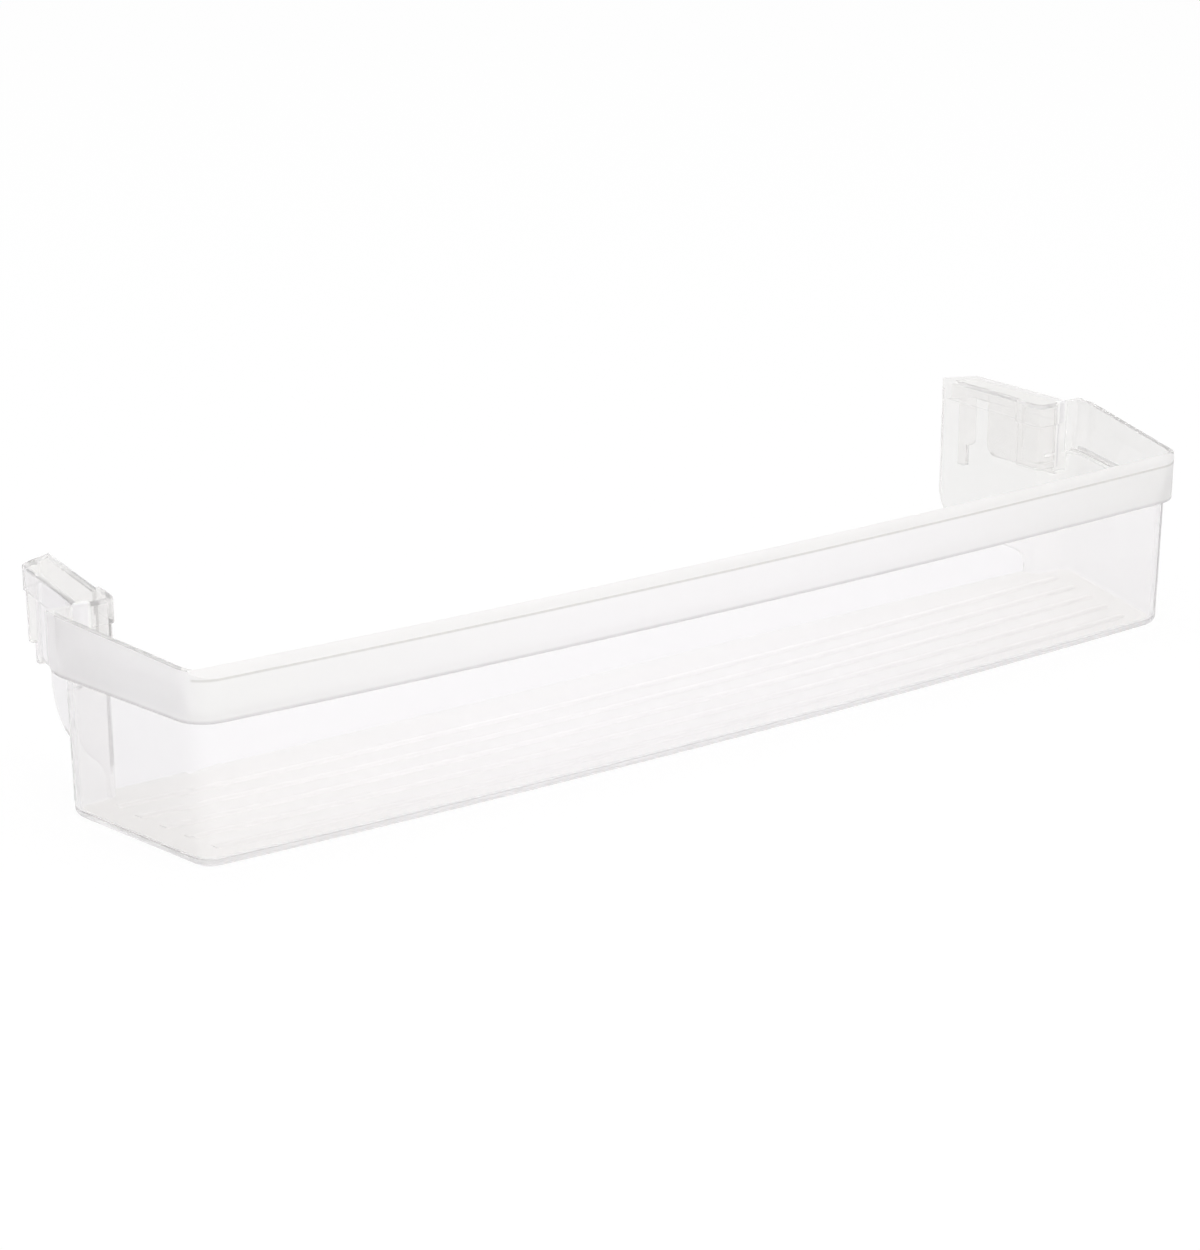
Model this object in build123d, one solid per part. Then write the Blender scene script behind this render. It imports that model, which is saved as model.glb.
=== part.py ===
from build123d import *
import math
import os

# Clear door shelf for a refrigerator, injection moulded in one piece.
# X runs along the shelf, -Y is the front wall, +Y is the fridge door, Z is up.
# While it is modelled, Y is measured from the line through the two front corners of the band.

# Driving dimensions of the tray, in millimetres and degrees
wall = 2.4
floor_thickness = 2.6
front_width = 464.2
front_bow = 6.2
side_splay = 12.5
corner_radius = 13.5
wall_lean = 0.7
base_fillet = 4.0
floor_fillet = 1.5
return_y = 78.8
return_corner_radius = 8.5
floor_back_y = 85.5

# Driving dimensions of the band and its rim
band_bottom = 55.6
band_step = 3.2
band_end_y = 73.0
band_end_radius = 4.0
band_edge_radius = 1.0
ledge_foot = 0.9
ledge_rise = 12.0
rim_front_height = 72.3
rim_height = 74.8
rim_depth = 6.0
rim_back_height = 78.8

# Driving dimensions of the floor ribs
rib_pitch = 13.2
rib_width = 5.2
rib_height = 0.4
rib_first = 10.8
rib_crest = 2.0
rib_end_gap = 11.0

# Driving dimensions of the wing plates
wing_front_x = 223.9
wing_toe = 4.6
wing_thickness = 1.8
wing_back_y = 138.2
wing_foot_height = 11.4
wing_back_radius = 18.0
wing_notch_radius = 6.0
wing_corner_radius = 2.5

# Driving dimensions of the hooks
hook_height = 79.9
hook_front_width = 14.6
hook_back_width = 14.2
hook_outer_y = 131.5
cap_depth = 9.8
cap_step = 0.9
cap_corner_radius = 3.5
cap_edge_radius = 0.8
leg_length = 33.6
leg_end_y = 120.5
leg_radius = 5.5
post_front_y = 129.7
post_length = 31.2
post_radius = 2.0
tip_width = 3.0
tip_length = 40.2
pocket_side_step = 1.8
pocket_front_step = 1.9
pocket_end_y = 91.8
pocket_depth = 29.5
pocket_radius = 3.4
pocket_blend = 5.0

# Values worked out from the driving dimensions
half_width = front_width / 2
slope = math.tan(math.radians(side_splay))
lean = math.tan(math.radians(wall_lean))
toe = math.tan(math.radians(wing_toe))
bow_radius = (half_width**2 + front_bow**2) / (2 * front_bow)
bow_centre_y = bow_radius - front_bow
return_back_y = return_y + wall
shelf_top = band_bottom + wall
sky = hook_height + wall
far = front_width
origin_y = (wing_back_y - front_bow) / 2


def side_x(inset, y):
    """Half-width at this depth of the outline that lies this far inside the band's face."""
    return half_width + y * slope - inset * math.hypot(1, slope)


def front_corner(inset):
    """Sharp front corner of that outline, where its bowed front meets its splayed side."""
    start = side_x(inset, 0)
    square = 1 + slope**2
    linear = 2 * (start * slope - bow_centre_y)
    constant = start**2 + bow_centre_y**2 - (bow_radius - inset) ** 2
    y = (-linear - math.sqrt(linear**2 - 4 * square * constant)) / (2 * square)
    return side_x(inset, y), y


def across(right):
    """These points of the right half, then their mirror images in the left half."""
    return right + [(-x, y) for x, y in reversed(right)]


def plan(inset, side_points, height, back_radius=0):
    """Face with a bowed front and rounded corners, whose sides run through the given points."""
    x, y = front_corner(inset)
    front = ThreePointArc((-x, y), (0, inset - front_bow), (x, y))
    rest = Polyline((x, y), *across(side_points), (-x, y))
    face = make_face(front + rest)
    face = fillet(face.vertices().sort_by(Axis.Y)[:2], corner_radius - inset)
    if back_radius:
        face = fillet(face.vertices().sort_by(Axis.Y)[-2:], back_radius)
    return Pos(0, 0, height) * face


def tray_plan(inset, back_y, height, back_radius=0):
    return plan(inset, [(side_x(inset, back_y), back_y)], height, back_radius)


def band_plan(inset, back_y, height):
    """Plan of the band: its sides turn straight back where they end."""
    end_x = side_x(0, band_end_y) - inset
    turn_y = band_end_y + inset * (math.hypot(1, slope) - 1) / slope
    return plan(inset, [(end_x, turn_y), (end_x, back_y)], height)


def leaning_tray(depth, back_y, bottom, top, back_radius=0):
    """Solid tray whose walls lean outwards, this deep inside the outer face."""
    insets = [band_step + depth + (band_bottom - height) * lean for height in (bottom, top)]
    low = tray_plan(insets[0], back_y, bottom, back_radius)
    high = tray_plan(insets[1], back_y, top, back_radius)
    return loft([low, high], ruled=True)


def box_between(x0, x1, y0, y1, z0, z1):
    return Pos(x0, y0, z0) * Box(x1 - x0, y1 - y0, z1 - z0, align=Align.MIN)


def prism(points, z0, z1):
    return extrude(Pos(0, 0, z0) * make_face(Polyline(*points, close=True)), z1 - z0)


def bow_ring(points):
    """Solid that follows the bow of the front; each point is an inset and a height."""
    outline = Polyline(*[(bow_radius - inset, z) for inset, z in points], close=True)
    sweep_angle = 2 * math.degrees(math.asin(half_width / bow_radius))
    ring = revolve(Plane.XZ * make_face(outline), Axis.Z, sweep_angle)
    return Pos(0, bow_centre_y, 0) * Rot(0, 0, -90 - sweep_angle / 2) * ring


def round_base(body):
    return fillet(body.edges().group_by(Axis.Z)[0], base_fillet)


def tray():
    """Upright walls on a floor that runs on behind them between the wings."""
    walls = round_base(leaning_tray(0, return_back_y, 0, shelf_top, return_corner_radius))
    reach = wing_x(floor_back_y) + wing_thickness / 2
    return walls + box_between(-reach, reach, return_y, floor_back_y, 0, floor_thickness)


def tray_hollow():
    hollow = leaning_tray(wall, return_y, floor_thickness, shelf_top, return_corner_radius - wall)
    return fillet(hollow.edges().group_by(Axis.Z)[0], floor_fillet)


def band():
    """Raised band round the front and the sides, with a rim that climbs towards the back."""
    body = extrude(band_plan(0, return_back_y, band_bottom), sky - band_bottom)
    body = fillet(body.edges().group_by(Axis.Z)[0].sort_by(Axis.Y)[-1], band_end_radius)
    body = fillet(body.edges().group_by(Axis.Z)[0].sort_by(Axis.Y)[:-1], band_edge_radius)
    above = Polyline(
        (-far, rim_height), (0, rim_height), (band_end_y, rim_back_height), (far, rim_back_height),
        (far, far), (-far, far), close=True,
    )
    body -= extrude(Plane.YZ * make_face(above), far, both=True)
    fall = (rim_height - rim_front_height) / rim_depth
    bevel_foot = (-wall, rim_front_height - wall * fall)
    return body - bow_ring([bevel_foot, (rim_depth, rim_height), (rim_depth, sky), (-wall, sky)])


def band_hollow():
    """Inside of the band, which widens from the tray's inside over a slope."""
    foot = band_bottom + ledge_foot
    full = band_plan(wall, return_y, foot + ledge_rise)
    slope_part = loft([band_plan(wall + band_step, return_y, foot), full], ruled=True)
    return slope_part + extrude(full, sky - foot - ledge_rise)


def front_rim():
    """Sloping flange that turns inwards from the top of the front wall."""
    half_wall = wall / 2
    fall = (rim_height - rim_front_height) / rim_depth
    start = rim_front_height + half_wall * fall
    flange = bow_ring([
        (half_wall, start - wall), (half_wall, start),
        (rim_depth, rim_height), (rim_depth, rim_height - wall),
    ])
    return flange & extrude(band_plan(half_wall, return_y, band_bottom), sky - band_bottom)


def back_opening():
    """Open back of the tray, from wing to wing above the floor, with its corners rounded."""
    flare_x = wing_x(return_y) + wing_corner_radius
    end_y = floor_back_y + wall
    face = make_face(Polyline(*across([
        (flare_x, return_y - 2 * floor_fillet), (flare_x, return_y),
        (wing_x(return_y), return_y), (wing_x(end_y), end_y),
    ]), close=True))
    corners = face.vertices().group_by(Axis.Y)[1].sort_by_distance((0, return_y))[:2]
    return extrude(Pos(0, 0, floor_thickness) * fillet(corners, wing_corner_radius), sky - floor_thickness)


def floor_ribs():
    """Shallow ridges on the floor that keep the bow of the front wall and stop short of the sides."""
    inside = band_step + wall + (band_bottom - floor_thickness) * lean
    first = inside + rib_first
    count = int((floor_back_y - rib_width - first) / rib_pitch) + 1
    foot = rib_width / 2
    crest = rib_crest / 2
    rib_top = floor_thickness + rib_height
    end_inset = inside + rib_end_gap
    reach = prism(across([(side_x(end_inset, y), y) for y in (0, floor_back_y)]), 0, sky)
    ribs = []
    for middle in [first + number * rib_pitch for number in range(count)]:
        ridge = bow_ring([
            (middle - foot, floor_thickness / 2), (middle - foot, floor_thickness),
            (middle - crest, rib_top), (middle + crest, rib_top),
            (middle + foot, floor_thickness), (middle + foot, floor_thickness / 2),
        ])
        ribs.append(ridge & reach)
    return ribs


def wing_x(y):
    """Inner face of the right wing plate, which toes in towards the back."""
    return wing_front_x - (y - return_y) * toe


def hook_x(y):
    """Outer face of the right hook's cap."""
    front = wing_x(return_y) + hook_front_width
    back = wing_x(hook_outer_y) + hook_back_width
    return front + (back - front) * (y - return_y) / (hook_outer_y - return_y)


def leg_x(y):
    """Inner face of the right hook's leg."""
    return hook_x(y) - cap_step - wall


def wing():
    """Right wing plate, from the return wall back to the door."""
    notch = floor_back_y - return_y
    wing_top = hook_height - cap_depth / 2
    toe_angle = math.radians(wing_toe)
    length = (wing_back_y - return_y - wing_thickness * math.sin(toe_angle)) / math.cos(toe_angle)
    side = make_face(Polyline(
        (0, 0), (notch, 0), (notch, wing_foot_height), (length, wing_foot_height),
        (length, wing_top), (0, wing_top), close=True,
    ))
    side = fillet(side.vertices().sort_by_distance((notch, wing_foot_height))[0], wing_notch_radius)
    side = fillet(side.vertices().sort_by_distance((length, wing_foot_height))[0], wing_back_radius)
    plate = extrude(Plane.YZ * side, wing_thickness)
    return Pos(wing_front_x, return_y, 0) * Rot(0, 0, wing_toe) * plate


def hook_plan(inset):
    right_side = [(hook_x(return_y), return_y), (hook_x(hook_outer_y), hook_outer_y)]
    face = make_face(Polyline(
        (wing_x(return_y), return_y), *right_side, (wing_x(wing_back_y), wing_back_y), close=True,
    ))
    if inset:
        face = offset(face, -inset, kind=Kind.INTERSECTION)
    if inset < cap_corner_radius:
        face = fillet(face.vertices().sort_by_distance(right_side[1])[0], cap_corner_radius - inset)
    return face


def hanging(face, drop, top_gap=0.0):
    """Prism under this plan, from a gap below the top of the hook down to the drop."""
    return extrude(Pos(0, 0, hook_height - drop) * face, drop - top_gap)


def cap():
    """Right cap, which covers the channel and the pocket and is open below."""
    block = hanging(hook_plan(0) + pocket_plan(0), cap_depth)
    block = fillet(block.edges().group_by(Axis.Z)[-1], cap_edge_radius)
    return block - hanging(hook_plan(wall), 2 * cap_depth, wall)


def leg():
    """Outer side of the right channel."""
    inner = [(leg_x(y), y) for y in (return_y, leg_end_y)]
    outer = [(x + wall, y) for x, y in reversed(inner)]
    body = hanging(make_face(Polyline(*inner, *outer, close=True)), leg_length, wall)
    return fillet(body.edges().group_by(Axis.Z)[0].sort_by(Axis.Y)[-1], leg_radius)


def post():
    """Post at the back corner of the right cap, with a narrower tip below it."""
    inner = wing_x(wing_back_y) + hook_back_width / 2
    outer = hook_x(post_front_y) - cap_step
    end = hook_height - post_length
    side = make_face(Polyline((inner, sky), (inner, end), (outer, end), (outer, sky), close=True))
    side = fillet(side.vertices().sort_by_distance((outer, end))[0], post_radius)
    body = Pos(0, post_front_y, 0) * extrude(Plane.XZ * side, -far)
    body += box_between(inner, inner + tip_width, post_front_y, far, hook_height - tip_length, sky)
    return body & hanging(hook_plan(cap_step), tip_length, wall)


def pocket_plan(inset):
    """Plan of the right pocket, which reaches from the tray's side of the wing into the leg."""
    front_y = return_y - pocket_front_step + inset
    back_y = pocket_end_y - inset
    bulge = pocket_side_step - inset
    overlap = (cap_step + wall) * (1 - inset / wall)
    corner = (wing_x(front_y) - bulge, front_y)
    face = make_face(Polyline(
        corner, (hook_x(return_y) - pocket_blend, front_y), (leg_x(return_y) + overlap, return_y + inset),
        (leg_x(back_y) + overlap / 2, back_y), (wing_x(back_y) - bulge, back_y), close=True,
    ))
    if inset < pocket_radius:
        face = fillet(face.vertices().sort_by_distance(corner)[0], pocket_radius - inset)
    return face


def pocket():
    """Right pocket: the channel's front end, which bulges into the tray and seats on the door."""
    way_in = make_face(Polyline(
        (wing_x(return_back_y) + wing_thickness, return_back_y), (leg_x(return_back_y), return_back_y),
        (leg_x(leg_end_y), leg_end_y), (wing_x(leg_end_y) + wing_thickness, leg_end_y), close=True,
    ))
    return hanging(pocket_plan(cap_step), pocket_depth, wall) - hanging(way_in, leg_length, wall)


def pocket_hollow():
    return hanging(pocket_plan(wall), pocket_depth - wall, wall)


def both_ends(right):
    return [right, mirror(right, Plane.YZ)]


def door_shelf():
    body = tray() + band() + both_ends(wing()) - tray_hollow() - band_hollow() - back_opening()
    body = body + front_rim() + floor_ribs()
    body = body + both_ends(cap() + leg() + post() + pocket()) - both_ends(pocket_hollow())
    return Pos(0, -origin_y, 0) * body


shelf = door_shelf()
os.makedirs("parts", exist_ok=True)
export_step(shelf, "parts/door_shelf.step")
print("valid", shelf.is_valid, "solids", len(shelf.solids()), "volume", round(shelf.volume))
print(shelf.bounding_box())
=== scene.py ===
import math

import bpy
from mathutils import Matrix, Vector


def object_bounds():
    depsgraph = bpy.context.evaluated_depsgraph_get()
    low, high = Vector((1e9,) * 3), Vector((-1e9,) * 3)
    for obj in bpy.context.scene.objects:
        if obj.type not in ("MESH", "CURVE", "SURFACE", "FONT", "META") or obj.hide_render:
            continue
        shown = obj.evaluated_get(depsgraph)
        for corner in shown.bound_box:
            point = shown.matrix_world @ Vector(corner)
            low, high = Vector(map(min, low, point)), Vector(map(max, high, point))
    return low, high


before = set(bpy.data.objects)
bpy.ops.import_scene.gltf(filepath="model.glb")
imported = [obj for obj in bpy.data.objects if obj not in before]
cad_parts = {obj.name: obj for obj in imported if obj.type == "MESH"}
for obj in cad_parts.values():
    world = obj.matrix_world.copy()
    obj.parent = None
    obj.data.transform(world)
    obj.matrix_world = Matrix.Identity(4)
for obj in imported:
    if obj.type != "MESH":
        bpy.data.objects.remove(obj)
cad_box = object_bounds()

# The photograph's view: pixels, degrees and metres, with the sensor in millimetres
PHOTO_SIZE = (1200, 1250)
FOCAL_PIXELS = 3275.8
SENSOR_WIDTH = 36.0
AZIMUTH = -34.83
ELEVATION = 19.44
DISTANCE = 1.329
LOOK_AT = Vector((0.0, 0.0254, 0.0202))
CLIP_START = 0.05
CLIP_END = 50.0

# The ground: it lies a little below the base, so that the two never share a plane.
# A share of it takes shadows, and it looks a little darker behind plastic.
GROUND_SIZE = 12.0
GROUND_GAP = 0.0003
GROUND_COLOUR = (0.97, 0.97, 0.97)
SHADED_SHARE = 0.12
BEHIND_PLASTIC = 0.92

# The room: its light, and what the plastic shows of it by the upward part of a direction
ROOM_LIGHT = (0.8, 0.8, 0.8)
HORIZON = (1.0, 1.0, 1.0)
UPPER_ROOM = (0.6, 0.59, 0.57)
WHITE_UP_TO = 0.16
GREY_FROM = 0.5

# Two square lamps: watts and metres
KEY_POWER = 6.3
KEY_SIZE = 0.9
KEY_PLACE = Vector((-0.3, -1.4, 0.8))
KEY_TARGET = Vector((0.0, 0.0, 0.03))
TOP_POWER = 17.5
TOP_SIZE = 3.0
TOP_PLACE = Vector((0.0, 0.3, 2.6))
TOP_TARGET = Vector((0.0, 0.3, 0.0))

# Tints of the plastic, face by face, and of the light that goes through it; the band's corner, end
# and edge tints, the rim's edge tint and the floor's end tint are painted shade
WALL_TINT = (0.972, 0.961, 0.975)
INNER_TINT = (0.972, 0.968, 0.962)
BAND_TINT = (0.904, 0.893, 0.901)
# Painted shade: the band darker towards its front corners
BAND_CORNER_SHADE = (0.869, 0.864, 0.858)
# Painted shade: the band's sides darker towards the back
BAND_END_SHADE = (0.874, 0.863, 0.871)
# Painted shade: a darker line along the band's lower edge
BAND_EDGE_SHADE = (0.7, 0.685, 0.695)
# Painted shade: a darker line along the edge of the rim
RIM_EDGE_SHADE = (0.7, 0.69, 0.675)
TOP_TINT = (0.974, 0.969, 0.96)
FLOOR_TINT = (0.962, 0.954, 0.947)
# Painted shade: the floor darker and yellower towards its ends
FLOOR_END_SHADE = (0.902, 0.892, 0.858)
SHADOW_TINT = (0.975, 0.97, 0.96)
ABSORPTION_COLOUR = (0.55, 0.54, 0.58)
ABSORPTION_DENSITY = 5.0

# Finish of the plastic: a share is the part of the light that passes a face and isn't scattered
PLASTIC_IOR = 1.2
COAT = 0.25
CLEAR_SHARE = 0.76
FROSTED_SHARE = 0.5
BASE_EDGE_SHARE = 0.45
MILKY_SHARE = 0.2
CLEAR_ROUGHNESS = (0.02, 0.06)
FROSTED_ROUGHNESS = (0.7, 0.85)
NOISE_MIDDLE = (0.3, 0.7)
HAZE_SCALE = 22.0
HAZE_DETAIL = 4.0
HAZE_ROUGHNESS = 0.6
WAVE_SCALE = 35.0
WAVE_DETAIL = 1.0
GRAIN_SCALE = 1500.0
GRAIN_DETAIL = 2.0
GRAIN_SHARE = 0.1
RELIEF = 0.07
RELIEF_DEPTH = 0.0003

# Places on the part in metres: heights, depths from front to back, and distances from the middle
FADE = 0.0004
FINE_FADE = 0.0002
BAND_BOTTOM = 0.0555
BAND_EDGE_TOP = 0.057
BAND_BACK = 0.0105
BAND_SIDE = 0.2405
BAND_END = -0.009
BAND_END_FADE = 0.019
LONG_END = 0.16
LONG_END_FADE = 0.09
RIM_EDGE = (0.0714, 0.0723)
RIM_EDGE_BACK = -0.062
FLOOR_TOP = 0.0045
RIB_FOOT = 0.0027
RIB_FADE = 0.00005
BASE_EDGE = (0.0002, 0.0036)
LEDGE = (0.0559, 0.0573)
LEDGE_SIDE = 0.2265
LEDGE_BACK = 0.012
BLEND_SIDE = (0.2325, 0.2395)
BLEND_DEPTH = (0.01, 0.0136)
BLEND_FOOT = 0.0485

# Slopes of the faces, as the upward or the forward part of the normal
FACES_UP = 0.965
GENTLE_SLOPE = 0.92
SLOPE_FADE = 0.025
FACES_FRONT = 0.65
FACES_FRONT_FADE = 0.2


def link(tree, source, socket):
    tree.links.new(source, socket)


def fill(tree, socket, value):
    """Gives a socket a number, a colour or what another node puts out."""
    if isinstance(value, float):
        socket.default_value = value
    elif isinstance(value, tuple):
        socket.default_value = (*value, 1)
    else:
        link(tree, value, socket)


def node(tree, kind, **inputs):
    """A new node with values for its sockets; an underscore stands for a space in a socket's name."""
    made = tree.nodes.new(kind)
    for name, value in inputs.items():
        fill(tree, made.inputs[name.replace("_", " ")], value)
    return made


def new_tree(owner):
    owner.use_nodes = True
    owner.node_tree.nodes.clear()
    return owner.node_tree


def maths(tree, operation, first, second=0.0):
    made = node(tree, "ShaderNodeMath")
    made.operation = operation
    for socket, value in zip(made.inputs, (first, second)):
        fill(tree, socket, value)
    return made.outputs["Value"]


def axes_of(tree, vector):
    return node(tree, "ShaderNodeSeparateXYZ", Vector=vector).outputs


def ramp(tree, value, start, end, low=0.0, high=1.0):
    """A number that goes from low to high while a value goes from start to end."""
    made = node(tree, "ShaderNodeMapRange", From_Min=start, From_Max=end, To_Min=low, To_Max=high)
    link(tree, value, made.inputs["Value"])
    return made.outputs["Result"]


def mixed(tree, kind, share, first, second):
    """Goes from first to second with a share; a Mix node has a set of sockets for each kind."""
    made = node(tree, "ShaderNodeMix")
    made.data_type = {"Float": "FLOAT", "Color": "RGBA"}[kind]
    sockets = {socket.identifier: socket for socket in (*made.inputs, *made.outputs)}
    fill(tree, sockets["Factor_Float"], share)
    fill(tree, sockets[f"A_{kind}"], first)
    fill(tree, sockets[f"B_{kind}"], second)
    return sockets[f"Result_{kind}"]


def between(tree, share, first, second):
    """A number that goes from first to second with a share."""
    return mixed(tree, "Float", share, first, second)


def tinted(tree, share, first, second):
    """A colour that goes from first to second with a share."""
    return mixed(tree, "Color", share, first, second)


def blended(tree, share, first, second):
    """A shader that goes from first to second with a share."""
    made = node(tree, "ShaderNodeMixShader")
    for socket, value in zip(made.inputs, (share, first, second)):
        link(tree, value, socket)
    return made.outputs["Shader"]


def above(tree, value, limit, fade):
    """1 where a value lies over a limit and 0 under it, with a short fade."""
    return ramp(tree, value, limit - fade, limit + fade)


def below(tree, value, limit, fade):
    """1 where a value lies under a limit and 0 over it, with a short fade."""
    return maths(tree, "SUBTRACT", 1.0, above(tree, value, limit, fade))


def within(tree, value, limits, fade):
    """1 where a value lies between two limits and 0 elsewhere."""
    low, high = (above(tree, value, limit, fade) for limit in limits)
    return maths(tree, "SUBTRACT", low, high)


def all_of(tree, mask, *others):
    """1 where every mask is 1."""
    for other in others:
        mask = maths(tree, "MULTIPLY", mask, other)
    return mask


def any_of(tree, mask, *others):
    """1 where at least one mask is 1."""
    for other in others:
        mask = maths(tree, "MAXIMUM", mask, other)
    return mask


def but_not(tree, mask, other):
    """1 where the first mask is 1 and the other one is 0."""
    return maths(tree, "MAXIMUM", maths(tree, "SUBTRACT", mask, other), 0.0)


def looking_out(tree, place, normal):
    """1 on faces that look away from the middle of the part, and 0 on faces that look in."""
    along = maths(tree, "MULTIPLY", place["X"], normal["X"])
    across = maths(tree, "MULTIPLY", place["Y"], normal["Y"])
    return above(tree, maths(tree, "ADD", along, across), 0.0, FADE)


def band_face(tree, place, out, outside, faces_up):
    """1 on the outer faces of the band, above its lower edge and below its top."""
    front = below(tree, place["Y"], BAND_BACK, FADE)
    ring = any_of(tree, front, above(tree, out, BAND_SIDE, FADE))
    upper = above(tree, place["Z"], BAND_BOTTOM, FADE)
    return all_of(tree, ring, upper, but_not(tree, outside, faces_up))


def rim_edge_shade(tree, place):
    """1 along the sharp edge between the front face of the band and the sloping rim, where a line of
    painted shade goes.
    """
    strip = within(tree, place["Z"], RIM_EDGE, FINE_FADE)
    return all_of(tree, strip, below(tree, place["Y"], RIM_EDGE_BACK, FADE))


def floor_rib(tree, place, low_down, gentle):
    """1 on the ribs of the floor."""
    return all_of(tree, low_down, above(tree, place["Z"], RIB_FOOT, RIB_FADE), gentle)


def hook_blend(tree, place, out):
    """1 on the slanted faces where a hook's pocket and cap run out into the return wall."""
    side = within(tree, out, BLEND_SIDE, FADE)
    depth = within(tree, place["Y"], BLEND_DEPTH, FADE)
    return all_of(tree, side, depth, above(tree, place["Z"], BLEND_FOOT, FADE))


def inner_ledge(tree, place, out, outside):
    """1 along the foot of the slope inside the sides of the band."""
    side = above(tree, out, LEDGE_SIDE, FADE)
    side = but_not(tree, side, above(tree, place["Y"], LEDGE_BACK, FADE))
    side = but_not(tree, side, outside)
    return all_of(tree, side, within(tree, place["Z"], LEDGE, FINE_FADE))


def part_masks(tree, where):
    """The faces of the part, told apart by where they lie and which way they look."""
    place = axes_of(tree, where["Object"])
    normal = axes_of(tree, where["Normal"])
    out = maths(tree, "ABSOLUTE", place["X"])
    forward = maths(tree, "MULTIPLY", normal["Y"], -1.0)
    faces_up = above(tree, normal["Z"], FACES_UP, SLOPE_FADE)
    gentle = above(tree, normal["Z"], GENTLE_SLOPE, SLOPE_FADE)
    outside = looking_out(tree, place, normal)
    low_down = below(tree, place["Z"], FLOOR_TOP, FADE)
    # The long ends of the part, where painted shade darkens the band's front corners and the floor
    shaded_ends = above(tree, out, LONG_END, LONG_END_FADE)
    return {
        "outside": outside,
        "gentle": gentle,
        "low_down": low_down,
        "shaded_ends": shaded_ends,
        "band": band_face(tree, place, out, outside, faces_up),
        # Where painted shade darkens the front of the band towards its corners
        "band_corner_shade": all_of(tree, shaded_ends, above(tree, forward, FACES_FRONT, FACES_FRONT_FADE)),
        # Where painted shade darkens the band's sides towards the back
        "band_end_shade": above(tree, place["Y"], BAND_END, BAND_END_FADE),
        # Where the painted shade line along the band's lower edge goes
        "band_edge_shade": below(tree, place["Z"], BAND_EDGE_TOP, FADE),
        "rim_edge_shade": rim_edge_shade(tree, place),
        "base_edge": all_of(tree, within(tree, place["Z"], BASE_EDGE, FINE_FADE), outside),
        "milky": any_of(
            tree,
            hook_blend(tree, place, out),
            inner_ledge(tree, place, out, outside),
            floor_rib(tree, place, low_down, gentle),
        ),
    }


def plastic_colour(tree, masks):
    """Lilac walls, cream inside and floor, a greyer band, and painted shade: darker lines along the
    band's two edges, the band darker at its front corners and the back of its sides, the floor darker
    towards its ends.
    """
    # Painted shade: the band darker towards its front corners
    frost = tinted(tree, masks["band_corner_shade"], BAND_TINT, BAND_CORNER_SHADE)
    # Painted shade: the band's sides darker towards the back
    frost = tinted(tree, masks["band_end_shade"], frost, BAND_END_SHADE)
    # Painted shade: a darker line along the band's lower edge
    frost = tinted(tree, masks["band_edge_shade"], frost, BAND_EDGE_SHADE)
    sides = tinted(tree, masks["outside"], INNER_TINT, WALL_TINT)
    sides = tinted(tree, masks["band"], sides, frost)
    # Painted shade: a darker line along the edge of the rim
    sides = tinted(tree, masks["rim_edge_shade"], sides, RIM_EDGE_SHADE)
    # Painted shade: the floor darker towards its ends
    base = tinted(tree, masks["shaded_ends"], FLOOR_TINT, FLOOR_END_SHADE)
    tops = tinted(tree, masks["low_down"], TOP_TINT, base)
    return tinted(tree, masks["gentle"], sides, tops)


def noise(tree, spot, **inputs):
    """A noise that stays where it is on the part."""
    return node(tree, "ShaderNodeTexNoise", Vector=spot, **inputs).outputs["Fac"]


def plastic_roughness(tree, masks, spot):
    """Smooth walls and a frosted band, both a little uneven."""
    haze = noise(tree, spot, Scale=HAZE_SCALE, Detail=HAZE_DETAIL, Roughness=HAZE_ROUGHNESS)
    smooth = ramp(tree, haze, *NOISE_MIDDLE, *CLEAR_ROUGHNESS)
    rough = ramp(tree, haze, *NOISE_MIDDLE, *FROSTED_ROUGHNESS)
    return between(tree, masks["band"], smooth, rough)


def plastic_clearness(tree, masks):
    """Clear walls, a frosted band, and milkier ribs and edges."""
    share = between(tree, masks["band"], CLEAR_SHARE, FROSTED_SHARE)
    share = between(tree, masks["base_edge"], share, BASE_EDGE_SHARE)
    return between(tree, masks["milky"], share, MILKY_SHARE)


def plastic_relief(tree, masks, spot):
    """A slight swell of the walls, none on the floor, and a fine grain on the frost."""
    wave = noise(tree, spot, Scale=WAVE_SCALE, Detail=WAVE_DETAIL)
    swell = maths(tree, "MULTIPLY", wave, maths(tree, "SUBTRACT", 1.0, masks["low_down"]))
    grain = noise(tree, spot, Scale=GRAIN_SCALE, Detail=GRAIN_DETAIL)
    fine = maths(tree, "MULTIPLY", all_of(tree, grain, masks["band"]), GRAIN_SHARE)
    height = maths(tree, "ADD", swell, fine)
    bump = node(tree, "ShaderNodeBump", Strength=RELIEF, Distance=RELIEF_DEPTH, Height=height)
    return bump.outputs["Normal"]


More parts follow.
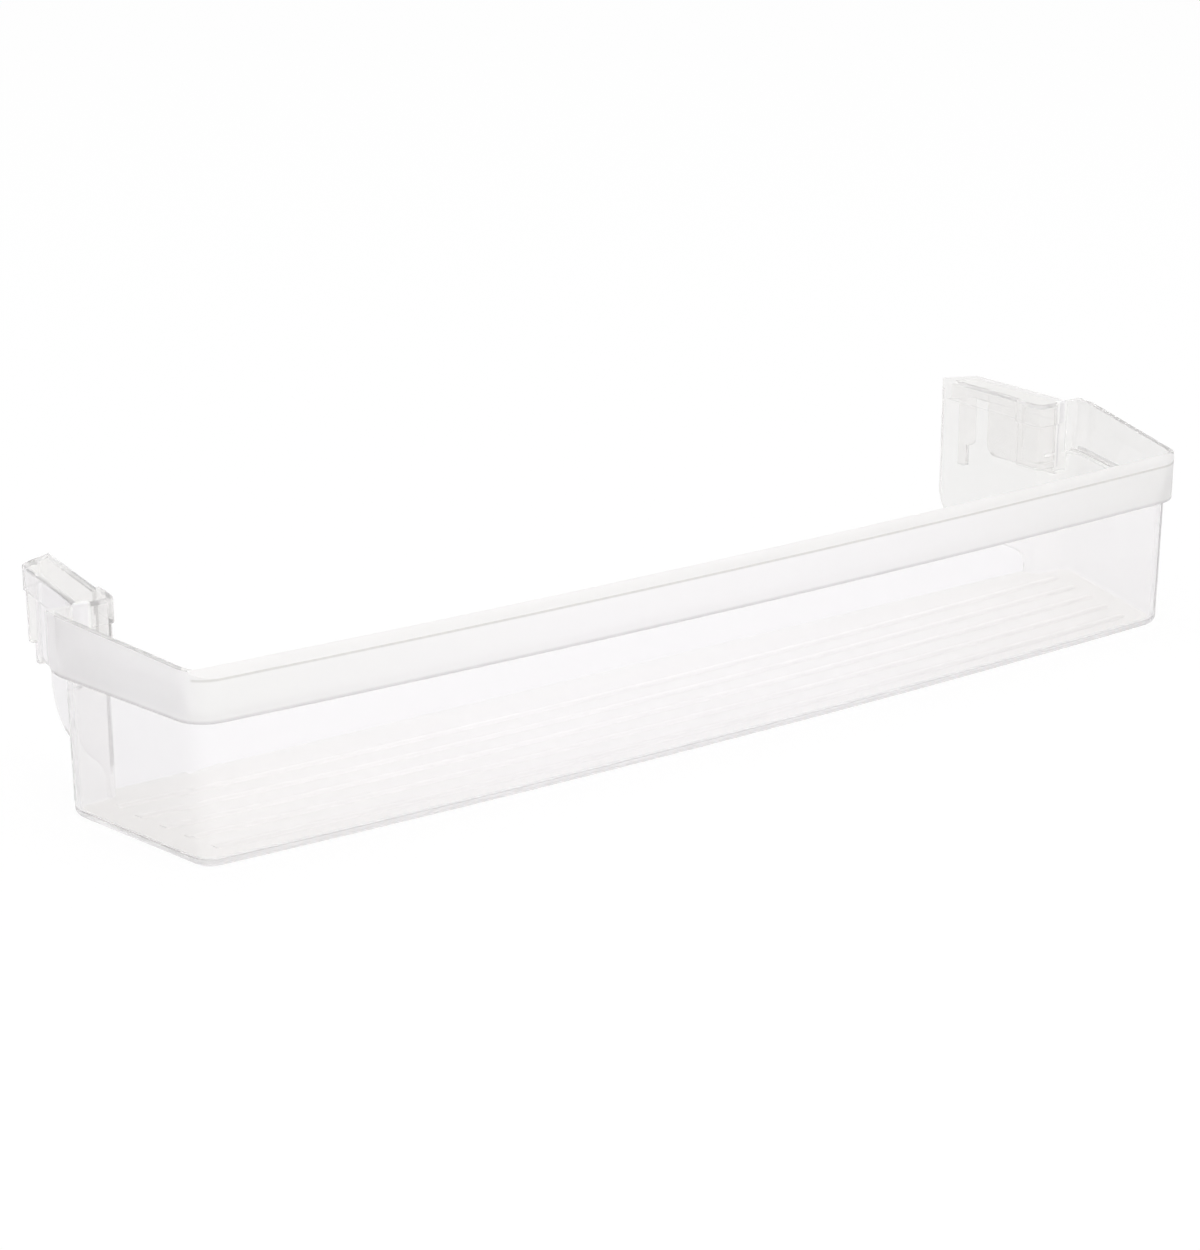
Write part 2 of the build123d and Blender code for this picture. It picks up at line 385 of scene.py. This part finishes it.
def clear_plastic():
    """Clear moulded plastic: refracting, a little milky, frosted on the band, with faint shadows and
    painted shade in its colour.
    """
    material = bpy.data.materials.new("clear_plastic_and_painted_shade")
    tree = new_tree(material)
    where = node(tree, "ShaderNodeTexCoord").outputs
    masks = part_masks(tree, where)
    body = node(
        tree,
        "ShaderNodeBsdfPrincipled",
        IOR=PLASTIC_IOR,
        Coat_Weight=COAT,
        Base_Color=plastic_colour(tree, masks),
        Roughness=plastic_roughness(tree, masks, where["Object"]),
        Transmission_Weight=plastic_clearness(tree, masks),
        Normal=plastic_relief(tree, masks, where["Object"]),
    )
    clear = node(tree, "ShaderNodeBsdfTransparent", Color=SHADOW_TINT)
    path = node(tree, "ShaderNodeLightPath").outputs
    surface = blended(tree, path["Is Shadow Ray"], body.outputs["BSDF"], clear.outputs["BSDF"])
    inside = node(
        tree,
        "ShaderNodeVolumeAbsorption",
        Color=ABSORPTION_COLOUR,
        Density=ABSORPTION_DENSITY,
    )
    node(tree, "ShaderNodeOutputMaterial", Surface=surface, Volume=inside.outputs["Volume"])
    return material


def seen_directly(tree):
    """1 for what the eye sees, also in a reflection or through clear plastic, and 0 for light."""
    path = node(tree, "ShaderNodeLightPath").outputs
    return any_of(tree, path["Is Camera Ray"], path["Is Glossy Ray"], path["Is Transmission Ray"])


def white_ground():
    """Stays white to the eye and nearly white through the plastic, and keeps a soft shadow."""
    material = bpy.data.materials.new("floor_white")
    tree = new_tree(material)
    path = node(tree, "ShaderNodeLightPath").outputs
    matte = node(tree, "ShaderNodeBsdfDiffuse", Color=GROUND_COLOUR)
    level = between(tree, path["Is Camera Ray"], BEHIND_PLASTIC, 1.0)
    glow = node(tree, "ShaderNodeEmission", Strength=level)
    share = maths(tree, "MULTIPLY", seen_directly(tree), 1 - SHADED_SHARE)
    surface = blended(tree, share, matte.outputs["BSDF"], glow.outputs["Emission"])
    node(tree, "ShaderNodeOutputMaterial", Surface=surface)
    return material


def add(name, data):
    """A new object in the scene."""
    made = bpy.data.objects.new(name, data)
    bpy.context.scene.collection.objects.link(made)
    return made


def turned(direction):
    """The rotation of a lamp or a camera that looks along a direction."""
    return direction.to_track_quat("-Z", "Y").to_euler()


def ground():
    half = GROUND_SIZE / 2
    low = cad_box[0].z - GROUND_GAP
    mesh = bpy.data.meshes.new("floor")
    corners = [(-half, -half, low), (half, -half, low), (half, half, low), (-half, half, low)]
    mesh.from_pydata(corners, [], [(0, 1, 2, 3)])
    mesh.materials.append(white_ground())
    made = add("floor", mesh)


def surroundings():
    """Even light on the part; in and through the plastic, a white horizon under a grey upper room."""
    world = bpy.data.worlds.new("studio")
    bpy.context.scene.world = world
    tree = new_tree(world)
    direction = axes_of(tree, node(tree, "ShaderNodeTexCoord").outputs["Generated"])
    height = ramp(tree, direction["Z"], WHITE_UP_TO, GREY_FROM)
    view = tinted(tree, height, HORIZON, UPPER_ROOM)
    colour = tinted(tree, seen_directly(tree), ROOM_LIGHT, view)
    light = node(tree, "ShaderNodeBackground", Strength=1.0, Color=colour)
    node(tree, "ShaderNodeOutputWorld", Surface=light.outputs["Background"])


def softbox(name, power, size, place, target):
    """A square lamp that lights the part, but isn't seen in the plastic or through it."""
    lamp = bpy.data.lights.new(name, "AREA")
    lamp.shape = "SQUARE"
    lamp.size = size
    lamp.energy = power
    made = add(name, lamp)
    made.location = place
    made.rotation_euler = turned(target - place)
    made.visible_glossy = False
    made.visible_transmission = False


def lights():
    softbox("key_light", KEY_POWER, KEY_SIZE, KEY_PLACE, KEY_TARGET)
    softbox("top_light", TOP_POWER, TOP_SIZE, TOP_PLACE, TOP_TARGET)


def camera():
    """The camera at the photograph's view."""
    lens = bpy.data.cameras.new("camera")
    lens.sensor_width = SENSOR_WIDTH
    lens.lens = FOCAL_PIXELS / max(PHOTO_SIZE) * SENSOR_WIDTH
    lens.clip_start = CLIP_START
    lens.clip_end = CLIP_END
    azimuth = math.radians(AZIMUTH)
    elevation = math.radians(ELEVATION)
    level = math.cos(elevation)
    back = Vector((math.sin(azimuth) * level, -math.cos(azimuth) * level, math.sin(elevation)))
    made = add("camera", lens)
    made.location = LOOK_AT + back * DISTANCE
    made.rotation_euler = turned(-back)
    bpy.context.scene.camera = made


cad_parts["door_shelf"].data.materials[0] = clear_plastic()
ground()
surroundings()
lights()
camera()
bpy.context.scene.view_settings.view_transform = "Standard"
